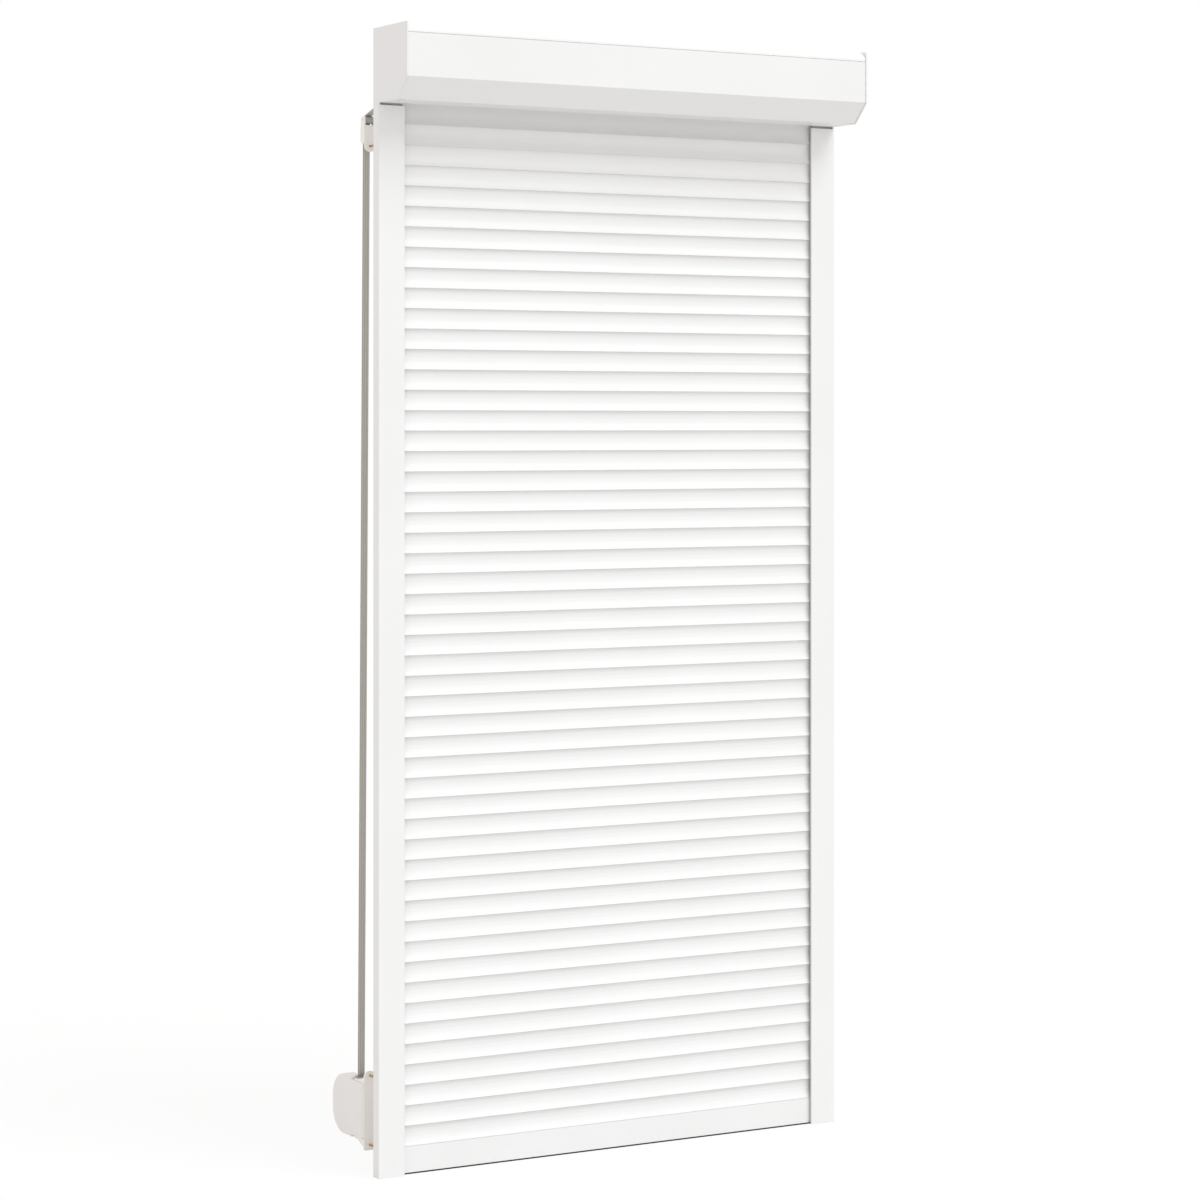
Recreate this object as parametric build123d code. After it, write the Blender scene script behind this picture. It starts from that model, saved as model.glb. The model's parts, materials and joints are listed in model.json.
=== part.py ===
from build123d import *
import math
import os

# Exterior roller shutter with a strap drive, in millimetres.
# X runs along the box, +Y points into the room and Z is up. The origin is the middle
# of the box's rear face, at the height of the roller's axis.

# Overall sizes
width = 1000.0
height = 2100.0
box_size = 137.0

# Box
front_height = 98.7
cover_sheet = 1.0
cover_rim = 1.0
cover_crown_radius = 17.0
cover_end_gap = 0.4
seam_drop = 18.6
seam_gap = 0.8
lip_gap = 0.15
lip_drop = 9.0
rear_hem = 3.0
front_cover_end = 26.0
front_hem = 5.0

# End caps
cap_plate = 3.0
collar_depth = 9.0
collar_wall = 1.8
collar_gap = 0.2
cap_flange_width = 15.0
cap_flange_gap = 0.9
tongue_depth = 12.0
tongue_wall = 2.0
tongue_front = 76.0
tongue_rear = 48.0
cap_foot_wall = 2.0
cap_foot_front = 25.0
cap_boss_wall = 4.0
cap_boss_depth = 9.5
cap_crown_radius = 3.0

# Guide rails
rail_width = 53.0
rail_depth = 22.0
rail_wall = 1.5
rail_chamber = 24.0
rail_gap = 4.0
seal_rib = 1.2
seal_rib_height = 2.4
seal_hook = 0.9
seal_hook_wall = 0.8
seal_slot = 6.2
seal_play = 0.1
seal_clearance = 0.3
rail_hole_radius = 3.2
rail_hole_inset = 150.0
rail_hole_count = 4

# Curtain
slat_pitch = 37.5
slat_thickness = 8.0
slat_setback = 7.0
slat_end_inset = 36.5
slat_groups = 13
slat_wall = 0.6
slat_stack_gap = 0.3
slat_top_depth = 4.4
slat_back_step = 0.8
slat_face_hollow = 2.2
neck_wall = 0.7
hook_rise = 3.7
hook_reach = 3.3
ledge_length = 2.4
ledge_wall = 0.7
neck_slot = 2.3
pocket_height = 5.0
pocket_lip = 0.3
lock_wall = 2.0
lock_plug_depth = 6.0
lock_overhang = 0.5
lock_height = 28.0
lock_lift = 3.0
lock_fit = 0.3

# Bottom bar
bar_height = 49.0
bar_seal_height = 3.0
bar_thickness = 7.6
bar_wall = 1.4
bar_bevel = 1.2
bar_groove_opening = 2.4
bar_groove_height = 2.4
bar_seal_inset = 0.6
bar_seal_play = 0.15
stop_length = 8.5
stop_height = 25.0
stop_lift = 2.0
stop_margin = 0.7
stop_plug_depth = 10.0

# Inlet guides
inlet_slot = 10.0
inlet_plug_depth = 25.0
inlet_play = 0.2
inlet_web_end = 32.0
inlet_plug_end = 42.5
inlet_lip_end = 50.0
inlet_lip_start = 36.0
inlet_wall = 2.4
inlet_lip_height = 10.0
inlet_flange_wall = 3.5
inlet_mouth = 1.4
lift_clearance = 0.3

# Roller and its bearings
tube_flats = 40.0
tube_wall = 0.8
tube_play = 0.2
tube_end_right = 30.0
bearing_outer_radius = 14.0
bearing_inner_radius = 6.0
bearing_width = 8.0
bearing_race = 2.4
bearing_ball_radius = 2.38
bearing_ball_count = 8
bearing_groove_gap = 0.1
bearing_fit = 0.03
idler_pin_depth = 60.0
idler_flange = 2.0
idler_flange_radius = 23.0
plug_depth = 40.0
tube_screw_radius = 2.0
tube_screw_head = 3.5
tube_screw_head_height = 1.6
tube_screw_length = 9.0

# Strap and its pulley
strap_inset = 25.0
strap_width = 14.0
strap_thickness = 1.2
strap_play = 0.1
strap_side_play = 1.0
pulley_box_gap = 8.5
pulley_strap_depth = 15.0
pulley_flange_wall = 1.5
pulley_rim_wall = 2.5
pulley_web_wall = 3.0
pulley_turns = 6
strap_clear = 0.3

# Curtain hangers
hanger_width = 40.0
hanger_wall = 1.0
hanger_count = 3
hanger_gap = 0.3

# Strap outlet in the box
outlet_rise = 5.1
outlet_lip_radius = 2.0
outlet_opening = 6.0
outlet_frame = 1.6
outlet_flange = 0.8
outlet_fit = 0.2
outlet_skin = 0.05

# Wall strap guide: drops are measured from the box's underside
wall_offset = 64.0
guide_width = 24.0
guide_plate = 2.5
guide_bottom = 83.0
guide_axle_y = 72.0
guide_axle_drop = 23.5
guide_axle_radius = 1.5
guide_roller_radius = 7.0
guide_cheek_wall = 2.5
guide_cheek_reach = 16.5
guide_cheek_top = 35.5
guide_cheek_bottom = 67.0
guide_cheek_bevel = 4.5
guide_ear_reach = 6.5
guide_notch_floor = 33.5
guide_running = 0.05
guide_side_play = 0.5
guide_screw_drop = 72.4

# Wood screws of the wall fittings
screw_radius = 2.0
screw_neck_radius = 1.6
screw_head_radius = 4.0
screw_head_height = 2.0
screw_length = 14.0
screw_hole_play = 0.2

# Winder: heights are measured from the rails' lower ends
winder_width = 28.0
winder_wall = 1.8
winder_top = 162.0
winder_bottom = 50.5
winder_back = 197.0
winder_corner = 46.0
winder_nose = 67.0
winder_edge = 3.0
winder_axis_y = 102.0
winder_split_gap = 0.1
spool_axis_y = 136.0
spool_axis_height = 108.0
spool_hub_radius = 22.0
spool_hub_wall = 2.0
spool_flange_radius = 46.0
spool_flange_wall = 1.4
spool_turns = 1
spool_axle_radius = 4.0
spool_running = 0.05
spool_side_play = 0.3
spring_wall = 0.5
spring_pitch = 1.6
spring_turns = 7
spring_end_gap = 0.4
arm_wall = 4.2
arm_gap = 0.3
arm_radius = 12.0
arm_cut_end = 116.0
bush_bore = 8.0
bush_radius = 10.0
bush_rise = 1.0
bush_collar = 1.5
bush_depth = 6.0
swivel_running = 0.05
pin_radius = 4.0
pin_depth = 8.0
pin_head = 1.5
bracket_top = 180.0
bracket_bottom = 34.0
bracket_ear = 4.0
bracket_ear_corner = 3.0
bracket_middle = 2.4
bracket_rib = 2.0
bracket_screw_top = 171.8
bracket_screw_bottom = 43.8
bracket_rib_top_reach = 90.0
bracket_rib_bottom_reach = 95.0
shell_screw_radius = 1.5
shell_screw_head = 2.8
shell_screw_head_height = 1.4
shell_screw_y = 76.0
shell_screw_inset = 22.0
shell_boss_radius = 3.6
tail_gap = 0.3

# Small fasteners of the box
cover_screw_radius = 1.7
cover_screw_head = 3.2
cover_screw_head_height = 1.2
cover_screw_length = 5.5
rivet_radius = 1.6
rivet_head = 3.4
rivet_head_height = 0.8
rivet_length = 4.0
rivet_inset = 8.0
rivet_front = 100.0
rivet_rear = 35.0

# One overrun for every cut
over = 1.0

# Places worked out from the sizes above
half_width = width / 2
half_box = box_size / 2
box_top = half_box
box_bottom = -half_box
sill = box_top - height
roller_y = -half_box
pulley_flange_radius = half_box - pulley_box_gap
pulley_hub_radius = pulley_flange_radius - pulley_strap_depth
rail_top = box_bottom - rail_gap
curtain_front = -rail_depth + slat_setback
curtain_back = curtain_front + slat_thickness
curtain_middle = (curtain_front + curtain_back) / 2
bar_top = sill + bar_seal_height + bar_height
slat_count = math.ceil((box_bottom + slat_pitch - bar_top) / slat_pitch)
slat_half = half_width - slat_end_inset
strap_x = -half_width + strap_inset
seam = box_top - seam_drop
guide_low = box_bottom - guide_bottom
guide_axle_z = box_bottom - guide_axle_drop
cheek_high = box_bottom - guide_cheek_top
cheek_low = box_bottom - guide_cheek_bottom
notch_high = box_bottom - guide_notch_floor
guide_screw_z = box_bottom - guide_screw_drop
inlet_plug_bottom = rail_top - inlet_plug_depth
stop_top = sill + bar_seal_height + stop_lift + stop_height
curtain_travel = inlet_plug_bottom - stop_top - lift_clearance

PARTS = {}


def keep(name, *solids):
    """Stores the solids of one node under its name."""
    shapes = [solid for item in solids for solid in item.solids()]
    PARTS[name] = shapes[0] if len(shapes) == 1 else Compound(shapes)


def brick(x0, x1, y0, y1, z0, z1):
    """A box between two values on each axis."""
    solid = Box(abs(x1 - x0), abs(y1 - y0), abs(z1 - z0))
    return Pos((x0 + x1) / 2, (y0 + y1) / 2, (z0 + z1) / 2) * solid


def side_face(points):
    """A face in the YZ plane through (y, z) points."""
    corners = [(0, y, z) for y, z in points]
    return make_face(Polyline(*corners, close=True))


def along_x(face, x0, x1):
    """Extrudes a YZ face from x0 to x1."""
    return Pos(x0, 0, 0) * extrude(face, amount=x1 - x0, dir=(1, 0, 0))


def rod_x(x0, x1, y, z, radius):
    """A round bar along X."""
    bar = Cylinder(radius, abs(x1 - x0), rotation=(0, 90, 0))
    return Pos((x0 + x1) / 2, y, z) * bar


def rod_y(y0, y1, x, z, radius):
    """A round bar along Y."""
    bar = Cylinder(radius, abs(y1 - y0), rotation=(90, 0, 0))
    return Pos(x, (y0 + y1) / 2, z) * bar


def rod_z(z0, z1, x, y, radius):
    """An upright round bar."""
    return Pos(x, y, (z0 + z1) / 2) * Cylinder(radius, abs(z1 - z0))


def mirrored(solid):
    """The same piece on the other side of the box."""
    return mirror(solid, about=Plane.YZ)


# Box and end caps

def box_outline(rim, base, radius):
    """The box's section with a rounded crown.

    It is drawn in by rim at the front and top and by base at the rear and bottom.
    """
    front = -box_size + rim
    top = box_top - rim
    rear = -base
    low = box_bottom + base
    bevel = -box_size + box_top - front_height + rim * math.sqrt(2)
    bend = radius * (1 - math.sqrt(0.5))
    lines = [
        Line((0, rear, low), (0, rear, top)),
        Line((0, rear, top), (0, front + radius, top)),
        ThreePointArc((0, front + radius, top), (0, front + bend, top - bend), (0, front, top - radius)),
        Line((0, front, top - radius), (0, front, bevel - front)),
        Line((0, front, bevel - front), (0, bevel - low, low)),
        Line((0, bevel - low, low), (0, rear, low)),
    ]
    return make_face(lines)


def cover_section():
    """The sheet's closed section, from which both covers are cut."""
    outer = box_outline(cover_rim, 0, cover_crown_radius)
    return outer - box_outline(cover_rim + cover_sheet, cover_sheet, cover_crown_radius - cover_sheet)


def cover_end():
    """The covers' end, just inside the end caps' plates."""
    return half_width - cap_plate - cover_end_gap


def rear_cover():
    """Back, top and front lip in one sheet, with the strap's outlet cut in the back."""
    above = side_face([(-box_size, seam), (0, seam), (0, box_top), (-box_size, box_top)])
    behind = side_face([(-rear_hem, box_bottom), (0, box_bottom), (0, seam), (-rear_hem, seam)])
    face = cover_section() & (above + behind)
    front = -box_size + cover_rim
    lip_front = front + cover_sheet + lip_gap
    lip_back = lip_front + cover_sheet
    ledge = side_face([(front, seam), (lip_back, seam), (lip_back, seam + cover_sheet),
                       (front, seam + cover_sheet)])
    lip_low = seam - lip_drop
    lip = side_face([(lip_front, lip_low), (lip_back, lip_low), (lip_back, seam + cover_sheet),
                     (lip_front, seam + cover_sheet)])
    cover = along_x(face + ledge + lip, -cover_end(), cover_end())
    low, high = outlet_span()
    reach = outlet_half_width()
    slot = brick(strap_x - reach, strap_x + reach, -cover_sheet - over, over, low, high)
    return cover - slot - rivet_shanks()


def front_cover():
    """Front, bevel and underside flange in one sheet, which comes off for inspection."""
    top = seam - seam_gap
    region = side_face([(-box_size, box_bottom), (-front_cover_end, box_bottom), (-front_cover_end, top),
                        (-box_size, top)])
    hem = side_face([(-front_cover_end - cover_sheet, box_bottom), (-front_cover_end, box_bottom),
                     (-front_cover_end, box_bottom + front_hem),
                     (-front_cover_end - cover_sheet, box_bottom + front_hem)])
    cover = along_x((cover_section() & region) + hem, -cover_end(), cover_end())
    inner = half_width - cap_flange_width - cap_flange_gap
    bevel_foot = -box_size + (box_size - front_height) + cover_sheet
    for side in (-1, 1):
        cover -= brick(side * inner, side * half_width, bevel_foot, 0, box_bottom - over,
                       box_bottom + front_hem + over)
    for screw in cover_screws():
        cover -= screw
    return cover


def cover_screw_places():
    """Where the inspection cover is screwed up into the end caps' tongues."""
    x = half_width - cap_flange_width - tongue_depth / 2
    y = -(tongue_front + tongue_rear) / 2
    return [(-x, y), (x, y)]


def cover_screw_shanks():
    """The screws' shanks alone, which cut the tongues' holes."""
    reach = box_bottom + cover_screw_length
    shanks = [rod_z(box_bottom, reach, x, y, cover_screw_radius) for x, y in cover_screw_places()]
    return Compound([solid for item in shanks for solid in item.solids()])


def cover_screws():
    """Countersunk screws, each a shank and a flat cone."""
    cone = Cone(cover_screw_head, cover_screw_radius, cover_screw_head_height)
    middle = box_bottom + cover_screw_head_height / 2
    heads = [Pos(x, y, middle) * cone for x, y in cover_screw_places()]
    return [shank + head for shank, head in zip(cover_screw_shanks().solids(), heads)]


def rivet_places():
    """Two rivets through the top at each end."""
    x = half_width - cap_plate - rivet_inset
    return [(side * x, -y) for side in (-1, 1) for y in (rivet_rear, rivet_front)]


def rivet_shanks():
    """Blind rivets' shanks, through the top sheet and the end caps' collars."""
    top = box_top - cover_rim
    shanks = [rod_z(top - rivet_length, top + rivet_head_height / 2, x, y, rivet_radius) for x,
              y in rivet_places()]
    return Compound([solid for item in shanks for solid in item.solids()])


def rivets():
    """The rivets with their flat heads."""
    top = box_top - cover_rim
    solids = []
    for x, y in rivet_places():
        head = rod_z(top, top + rivet_head_height, x, y, rivet_head)
        solids.append(rod_z(top - rivet_length, top, x, y, rivet_radius) + head)
    return solids


def right_cap_shell():
    """An end cap's plate, collar, flange, tongue and foot, at the right end."""
    inner = half_width - cap_plate
    plate = along_x(box_outline(0, 0, cap_crown_radius), inner, half_width)
    tab = brick(inner, half_width, -rail_depth, 0, rail_top, box_bottom)
    rim = cover_rim + cover_sheet + collar_gap
    base = cover_sheet + collar_gap
    crown = cover_crown_radius - cover_sheet - collar_gap
    ring = box_outline(rim, base, crown) - box_outline(rim + collar_wall, base + collar_wall,
                                                       crown - collar_wall)
    collar = along_x(ring, inner - collar_depth, inner)
    lip_room = brick(inner - collar_depth - over, inner, -box_size, -box_size + rim + collar_wall + over,
                     seam - lip_drop - seam_gap, seam + cover_sheet + seam_gap)
    hem_room = brick(inner - collar_depth - over, inner, -cap_foot_front, 0, box_bottom,
                     box_bottom + base + collar_wall + over)
    collar = collar - lip_room - hem_room
    bevel_foot = -front_height + cover_sheet + cap_flange_gap
    flange_in = half_width - cap_flange_width
    raised = box_bottom + base + collar_wall
    flange = brick(flange_in, inner, bevel_foot, -cap_foot_front, box_bottom, raised)
    low = box_bottom + base
    tongue = brick(flange_in - tongue_depth, inner, -tongue_front, -tongue_rear, low, low + tongue_wall)
    return plate + tab + collar + flange + tongue + cap_foot(inner)


def cap_foot(inner):
    """The ledge over the guide rail, cut out for the inlet guide."""
    foot_in = half_width - inlet_lip_end
    slab = brick(foot_in, inner, -cap_foot_front, -rear_hem - cap_flange_gap, box_bottom,
                 box_bottom + cap_foot_wall)
    front, back = inlet_faces()
    web = half_width - rail_chamber + inlet_play
    room = brick(foot_in - over, web, front - inlet_play, back + inlet_play, box_bottom - over,
                 box_bottom + cap_foot_wall + over)
    return slab - room


def right_end_cap():
    """The right end cap with its bearing boss."""
    cap = right_cap_shell() + bearing_boss()
    return cap - bearing_bore() - cover_screw_shanks() - rivet_shanks()


def left_end_cap():
    """The left end cap, like the right one."""
    cap = mirrored(right_cap_shell() + bearing_boss() - bearing_bore())
    return cap - cover_screw_shanks() - rivet_shanks()


def bearing_boss():
    """The boss that holds the right bearing."""
    inner = half_width - cap_plate
    return rod_x(inner - cap_boss_depth, inner, roller_y, 0, bearing_outer_radius + cap_boss_wall)


def bearing_bore():
    """The bearing's seat in the boss."""
    inner = half_width - cap_plate
    return rod_x(inner - cap_boss_depth - over, inner, roller_y, 0, bearing_outer_radius + bearing_fit)


# Guide rails, their seals and inlet guides

def rail_section():
    """The right rail's section in the XY plane."""
    inner = half_width - rail_width
    body = plan(inner, half_width, -rail_depth, 0)
    web = half_width - rail_chamber
    chamber = plan(web + rail_wall, half_width - rail_wall, -rail_depth + rail_wall, -rail_wall)
    channel = plan(inner - over, web, -rail_depth + rail_wall, -rail_wall)
    section = body - chamber - channel
    for face_y, sense in ((-rail_depth + rail_wall, 1), (-rail_wall, -1)):
        tip = face_y + sense * seal_rib_height
        under = tip - sense * seal_hook_wall
        far = inner + seal_rib + seal_slot
        section += plan(inner, inner + seal_rib, face_y, tip)
        section += plan(far, far + seal_rib, face_y, tip)
        section += plan(inner + seal_rib, inner + seal_rib + seal_hook, under, tip)
        section += plan(far - seal_hook, far, under, tip)
    return section


def plan(x0, x1, y0, y1):
    """A rectangle in the XY plane between two values on each axis."""
    return Pos((x0 + x1) / 2, (y0 + y1) / 2, 0) * Rectangle(abs(x1 - x0), abs(y1 - y0))


def upright(face, z0, z1):
    """Extrudes an XY face from z0 to z1."""
    return Pos(0, 0, z0) * extrude(face, amount=z1 - z0, dir=(0, 0, 1))


def rail_hole_heights():
    """The heights of the fixing holes, evenly spaced from the lowest up."""
    low = sill + rail_hole_inset
    step = (rail_top - rail_hole_inset - low) / (rail_hole_count - 1)
    return [low + step * n for n in range(rail_hole_count)]


def right_rail():
    """The right guide rail, with fixing holes in the back of its outer chamber."""
    rail = upright(rail_section(), sill, rail_top)
    for z in rail_hole_heights():
        rail -= rod_y(-rail_wall - over, over, half_width - rail_chamber / 2, z, rail_hole_radius)
    return rail


def right_rail_seals():
    """Two seal strips: a foot held by the rail's hooks and a lip that reaches the slats."""
    inner = half_width - rail_width
    start = inner + seal_rib
    strips = []
    edges = ((-rail_depth + rail_wall, 1, curtain_front), (-rail_wall, -1, curtain_back))
    for face_y, sense, slat_face in edges:
        hook = face_y + sense * (seal_rib_height - seal_hook_wall - seal_play)
        tip = slat_face - sense * seal_clearance
        foot = plan(start + seal_play, start + seal_slot - seal_play, face_y, hook)
        lip = plan(start + seal_hook + seal_play, start + seal_slot - seal_hook - seal_play, face_y, tip)
        strips.append(upright(foot + lip, sill, rail_top))
    return strips


def inlet_faces():
    """The inlet guide's front and back faces above the rail."""
    half_slot = inlet_slot / 2
    return curtain_middle - half_slot - inlet_wall, curtain_middle + half_slot + inlet_wall


def right_inlet_guide():
    """A plug in the rail's channel, a flange on the rail's top and two flared lips in the box."""
    deep = half_width - rail_chamber
    web = half_width - inlet_web_end
    front, back = inlet_faces()
    low_front = -rail_depth + rail_wall + inlet_play
    low_back = -rail_wall - inlet_play
    plug = brick(half_width - inlet_plug_end, deep - inlet_play, low_front, low_back, inlet_plug_bottom,
                 rail_top)
    flange = brick(half_width - inlet_lip_end, half_width - cap_plate - inlet_play, front, -rail_wall / 2,
                   rail_top,
                   rail_top + inlet_flange_wall)
    neck = brick(half_width - inlet_lip_end, deep, front, back, rail_top, box_bottom + cap_foot_wall)
    lips = brick(half_width - inlet_lip_end, half_width - inlet_lip_start, front, back, box_bottom,
                 box_bottom + cap_foot_wall + inlet_lip_height)
    guide = plug + flange + neck + lips
    half_slot = inlet_slot / 2
    top = box_bottom + cap_foot_wall + inlet_lip_height
    slot = brick(half_width - inlet_lip_end - over, web, curtain_middle - half_slot,
                 curtain_middle + half_slot,
                 inlet_plug_bottom - over, top + over)
    flare = side_face([(curtain_middle - half_slot - inlet_mouth, top),
                       (curtain_middle + half_slot + inlet_mouth, top),
                       (curtain_middle + half_slot, top - inlet_lip_height / 2),
                       (curtain_middle - half_slot, top - inlet_lip_height / 2)])
    mouth = along_x(flare, half_width - inlet_lip_end - over, web)
    return guide - slot - mouth


# Curtain

def depth(s):
    """Turns a distance from the curtain's back face into Y."""
    return curtain_back - s


def face_arc(bottom, top, inset):
    """The slat's hollow front face between two heights, drawn in by inset."""
    def place(height_up):
        share = height_up / slat_pitch
        straight = slat_thickness + (slat_top_depth - slat_thickness) * share
        sag = slat_face_hollow * 4 * share * (1 - share)
        return (0, depth(straight - sag - inset), height_up)
    return ThreePointArc(place(bottom), place((bottom + top) / 2), place(top))


def hook_points(shoulder):
    """The neck and the hook over a shoulder, from its front foot to its back foot."""
    top = shoulder + slat_stack_gap + hook_rise
    under = top - neck_wall
    back = slat_top_depth - neck_wall
    tip = slat_top_depth - hook_reach
    return [(slat_top_depth, shoulder), (slat_top_depth, top), (tip, top), (tip, under), (back, under),
            (back, shoulder)]


def chain(points):
    """Straight lines through points given as (distance from the back face, height)."""
    places = [(0, depth(s), z) for s, z in points]
    return [Line(a, b) for a, b in zip(places, places[1:])]


def slat_outline():
    """The slat's outer edge: front face, hook on top, back face, and the pocket for the slat below."""
    shoulder = slat_pitch - slat_stack_gap
    front = face_arc(0, shoulder, 0)
    neck = hook_points(shoulder)
    front_top = front @ 1
    first = (curtain_back - front_top.Y, front_top.Z)
    slot_end = ledge_length + neck_slot
    pocket_front = slot_end + pocket_lip
    rest = [first] + neck[1:] + [(slat_back_step, shoulder), (0, pocket_height), (0, 0), (ledge_length, 0),
                                 (ledge_length, ledge_wall), (slat_wall, ledge_wall),
                                 (slat_wall, pocket_height),
                                 (pocket_front, pocket_height), (pocket_front, ledge_wall),
                                 (slot_end, ledge_wall),
                                 (slot_end, 0), (slat_thickness, 0)]
    rest[1] = (first[0], rest[1][1])
    return make_face([front] + chain(rest))


def slat_hollow():
    """The closed chamber inside the slat."""
    low = slat_wall
    roof = pocket_height + slat_wall
    top = slat_pitch - slat_stack_gap - slat_wall
    front = face_arc(low, top, slat_wall)
    pocket_front = ledge_length + neck_slot + pocket_lip + slat_wall
    back_top = slat_back_step + slat_wall
    start = (curtain_back - (front @ 1).Y, top)
    end = (curtain_back - (front @ 0).Y, low)
    return make_face([front] + chain([start, (back_top, top), (slat_wall, roof), (pocket_front, roof),
                                      (pocket_front, low), end]))


def slats():
    """All slats from the lowest up, each hooked into the one above."""
    slat = along_x(slat_outline() - slat_hollow(), -slat_half, slat_half)
    return [Pos(0, 0, bar_top + slat_pitch * n) * slat for n in range(slat_count)]


def slat_locks(side):
    """End locks on every second slat, plugged into its chamber."""
    low = depth(slat_thickness + lock_overhang)
    high = depth(-lock_overhang)
    start = side * slat_half
    plate = brick(start, start + side * lock_wall, low, high, lock_lift, lock_lift + lock_height)
    roof = pocket_height + slat_wall + lock_fit
    front = slat_top_depth - lock_fit
    plug = brick(start - side * lock_plug_depth, start, depth(front),
                 depth(slat_wall + slat_back_step + lock_fit),
                 roof, roof + pocket_height)
    lock = plate + plug
    return [Pos(0, 0, bar_top + slat_pitch * n) * lock for n in range(0, slat_count, 2)]


def bar_section():
    """The bottom bar: a hollow bar with the slats' hook on top and a groove for its seal."""
    low = sill + bar_seal_height
    shoulder = bar_top - slat_stack_gap
    outer = [(bar_thickness, low), (bar_thickness, shoulder - bar_bevel),
             (bar_thickness - bar_bevel, shoulder)]
    outer += hook_points(shoulder) + [(0, shoulder), (0, low)]
    face = side_face([(depth(s), z) for s, z in outer])
    groove_top = low + bar_wall + bar_groove_height
    hollow = side_face([(depth(bar_wall), groove_top + bar_wall),
                        (depth(bar_thickness - bar_wall), groove_top + bar_wall),
                        (depth(bar_thickness - bar_wall), shoulder - bar_bevel - bar_wall),
                        (depth(bar_wall), shoulder - bar_bevel - bar_wall)])
    return face - hollow - seal_groove(0)


def seal_groove(play):
    """The bar's groove, or the seal's foot when play is taken off each side."""
    lip = sill + bar_seal_height
    low = lip - play
    middle = bar_thickness / 2
    mouth = bar_groove_opening / 2 - play
    wide = middle - bar_wall - play
    neck = lip + bar_wall + play
    top = lip + bar_wall + bar_groove_height - play
    points = [(middle + mouth, low), (middle + mouth, neck), (middle + wide, neck), (middle + wide, top),
              (middle - wide, top), (middle - wide, neck), (middle - mouth, neck), (middle - mouth, low)]
    return side_face([(depth(s), z) for s, z in points])


def bar_seal():
    """The rubber strip under the bar, with its foot in the groove."""
    low = sill + bar_seal_height
    narrow = bar_seal_inset + bar_seal_inset
    strip = side_face([(depth(bar_seal_inset), low), (depth(bar_thickness - bar_seal_inset), low),
                       (depth(bar_thickness - narrow), sill), (depth(narrow), sill)])
    foot = along_x(seal_groove(bar_seal_play), -slat_half, slat_half)
    return along_x(strip, -slat_half, slat_half) + foot


def bar_stops():
    """Plugs at the bar's ends that run in the rails and stop it under the inlet guides."""
    low = stop_top - stop_height
    front = -rail_depth + rail_wall + stop_margin
    back = -rail_wall - stop_margin
    solids = []
    hollow_low = sill + bar_seal_height + bar_wall + bar_groove_height + bar_wall + lock_fit
    for side in (-1, 1):
        start = side * slat_half
        plate = brick(start, start + side * stop_length, front, back, low, stop_top)
        plug = brick(start - side * stop_plug_depth, start, depth(bar_thickness - bar_wall - lock_fit),
                     depth(bar_wall + lock_fit), hollow_low, stop_top)
        solids.append(plate + plug)
    return solids


def hangers():
    """Spring-steel links from the roller tube to the top slat's hook."""
    top = bar_top + slat_pitch * slat_count
    arm_top = top + hook_rise
    arm_low = arm_top - neck_wall
    tip = slat_top_depth - hook_reach
    inner_s = tip - hanger_gap
    outer_s = inner_s - hanger_wall
    floor = arm_low - hanger_gap
    roof = arm_top + hanger_gap
    neck_back = slat_top_depth - neck_wall - hanger_gap
    tube_face = roller_y + tube_flats / 2 + hanger_gap
    rise = tube_flats * (math.sqrt(2) - 1) / 2
    clip = [(depth(neck_back), floor - hanger_wall), (depth(outer_s), floor - hanger_wall),
            (depth(outer_s), roof + hanger_wall),
            (tube_face + hanger_wall, -rise), (tube_face + hanger_wall, rise), (tube_face, rise),
            (tube_face, -rise - hanger_wall),
            (depth(slat_top_depth), roof), (depth(inner_s), roof), (depth(inner_s), floor),
            (depth(neck_back), floor)]
    face = side_face(clip)
    span = slat_half * 2 / (hanger_count + 1)
    places = [-slat_half + span * (n + 1) for n in range(hanger_count)]
    return [along_x(face, x - hanger_width / 2, x + hanger_width / 2) for x in places]


# Roller, pulley and bearings

def octagon(flats):
    """An eight-sided face across the roller's axis."""
    radius = flats / 2 / math.cos(math.pi / 8)
    turns = [math.pi / 8 + math.pi / 4 * n for n in range(8)]
    return side_face([(roller_y + radius * math.cos(a), radius * math.sin(a)) for a in turns])


def pulley_sides():
    """The X of the pulley's four flange faces, from the left."""
    half = (strap_width + strap_side_play) / 2
    left = strap_x - half
    right = strap_x + half
    return left - pulley_flange_wall, left, right, right + pulley_flange_wall


def tube_start():
    """The roller tube's left end, against the pulley."""
    return pulley_sides()[3]


def tube_finish():
    """The roller tube's right end, against the idler capsule."""
    return half_width - tube_end_right


def roller_tube():
    """The octagonal tube, with holes for its end screws."""
    face = octagon(tube_flats) - octagon(tube_flats - tube_wall * 2)
    tube = along_x(face, tube_start() + tube_play, tube_finish() - tube_play)
    for screw in tube_screws(tube_screw_radius):
        tube -= screw
    return tube


def tube_screw_places():
    """The X of the screws that hold the pulley's plug and the idler capsule."""
    return [tube_start() + plug_depth / 2, tube_finish() - plug_depth / 2]


def tube_screws(head):
    """Screws through the tube's front and rear flats into the plugs."""
    solids = []
    for x in tube_screw_places():
        for sense in (-1, 1):
            flat = roller_y + sense * tube_flats / 2
            shank = rod_y(flat - sense * tube_screw_length, flat, x, 0, tube_screw_radius)
            solids.append(shank + rod_y(flat, flat + sense * tube_screw_head_height, x, 0, head))
    return solids


def plug_blank(x0, x1):
    """A solid plug inside the tube, with holes for its screws."""
    plug = along_x(octagon(tube_flats - tube_wall * 2 - tube_play * 2), x0, x1)
    for screw in tube_screws(tube_screw_radius):
        plug -= screw
    return plug


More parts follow.
